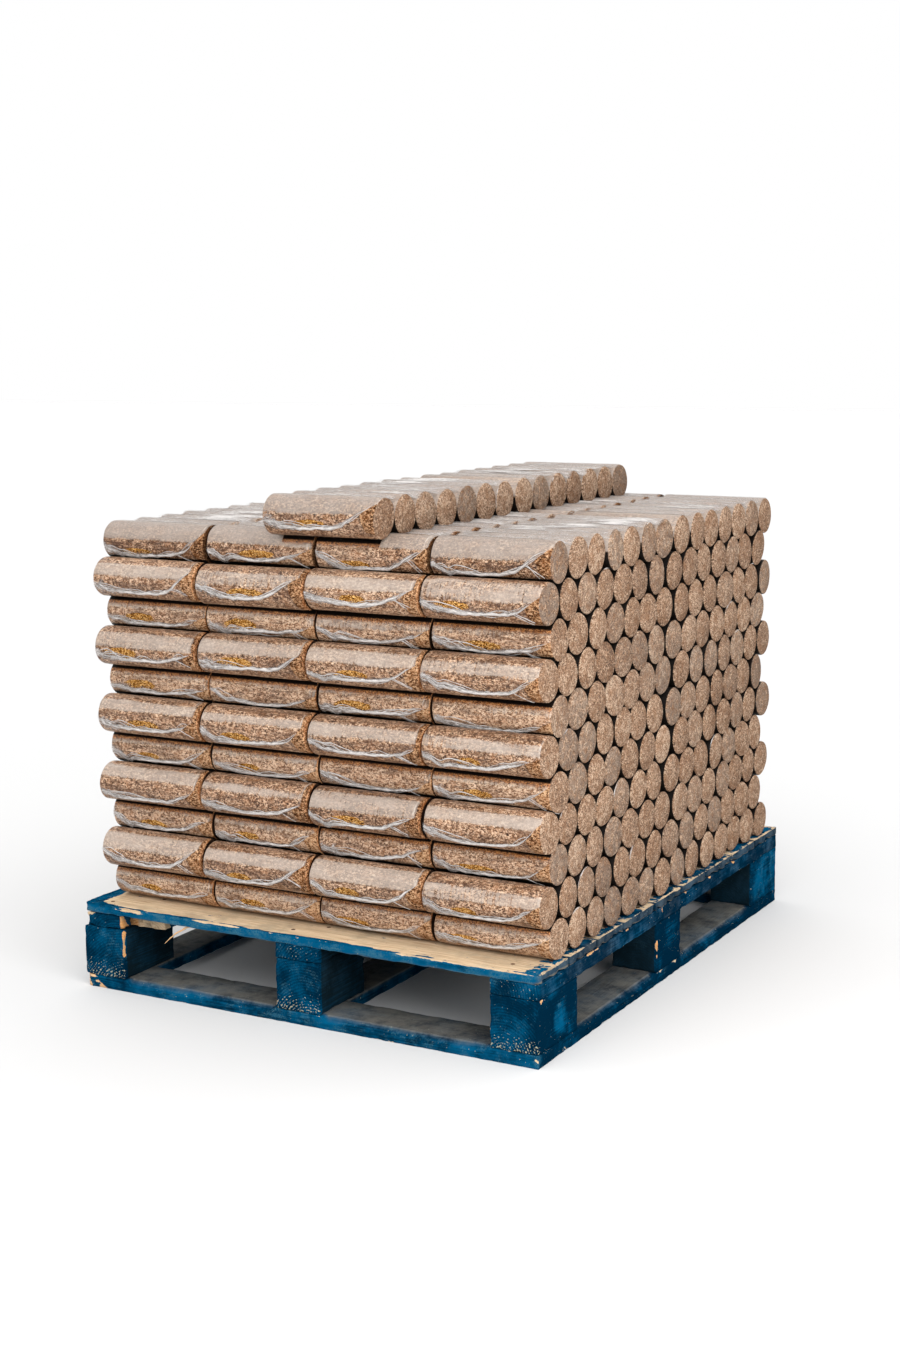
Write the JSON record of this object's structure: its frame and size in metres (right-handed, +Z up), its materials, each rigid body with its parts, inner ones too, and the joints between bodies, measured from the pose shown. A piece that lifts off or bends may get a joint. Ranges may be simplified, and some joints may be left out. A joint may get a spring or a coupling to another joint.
{
  "type": "pallet of wood briquettes",
  "caption": "Film-wrapped packs of round pressed-wood fuel briquettes, stacked crosswise in nested layers on a worn blue block pallet with fork openings on all four sides",
  "frame": {"origin": "centre of the pallet's underside, on the floor", "axes": "+X to the right along the deck boards and the briquettes, +Y from the front to the back along the stringers, +Z up"},
  "size_m": [1, 1.2, 0.9837],
  "materials": {
    "base_wood": "worn matt blue paint",
    "block_wood": "worn matt blue paint",
    "stringer_wood": "worn matt blue paint",
    "deck_wood": "blue paint worn off to bare wood on top",
    "pressed_wood": "rough pressed chips under clear film"
  },
  "bodies": {
    "root": {"base_back": "base_wood", "base_front": "base_wood", "base_left": "base_wood", "base_middle": "base_wood", "base_right": "base_wood", "block_back_left": "block_wood", "block_back_middle": "block_wood", "block_back_right": "block_wood", "block_centre_left": "block_wood", "block_centre_middle": "block_wood", "block_centre_right": "block_wood", "block_front_left": "block_wood", "block_front_middle": "block_wood", "block_front_right": "block_wood", "deck_01": "deck_wood", "deck_02": "deck_wood", "deck_03": "deck_wood", "deck_04": "deck_wood", "deck_05": "deck_wood", "deck_06": "deck_wood", "deck_07": "deck_wood", "deck_08": "deck_wood", "deck_09": "deck_wood", "layer_01": "pressed_wood", "layer_02": "pressed_wood", "layer_03": "pressed_wood", "layer_04": "pressed_wood", "layer_05": "pressed_wood", "layer_06": "pressed_wood", "layer_07": "pressed_wood", "layer_08": "pressed_wood", "layer_09": "pressed_wood", "layer_10": "pressed_wood", "layer_11": "pressed_wood", "stringer_left": "stringer_wood", "stringer_middle": "stringer_wood", "stringer_right": "stringer_wood", "top_row": "pressed_wood"}
  },
  "joints": []
}
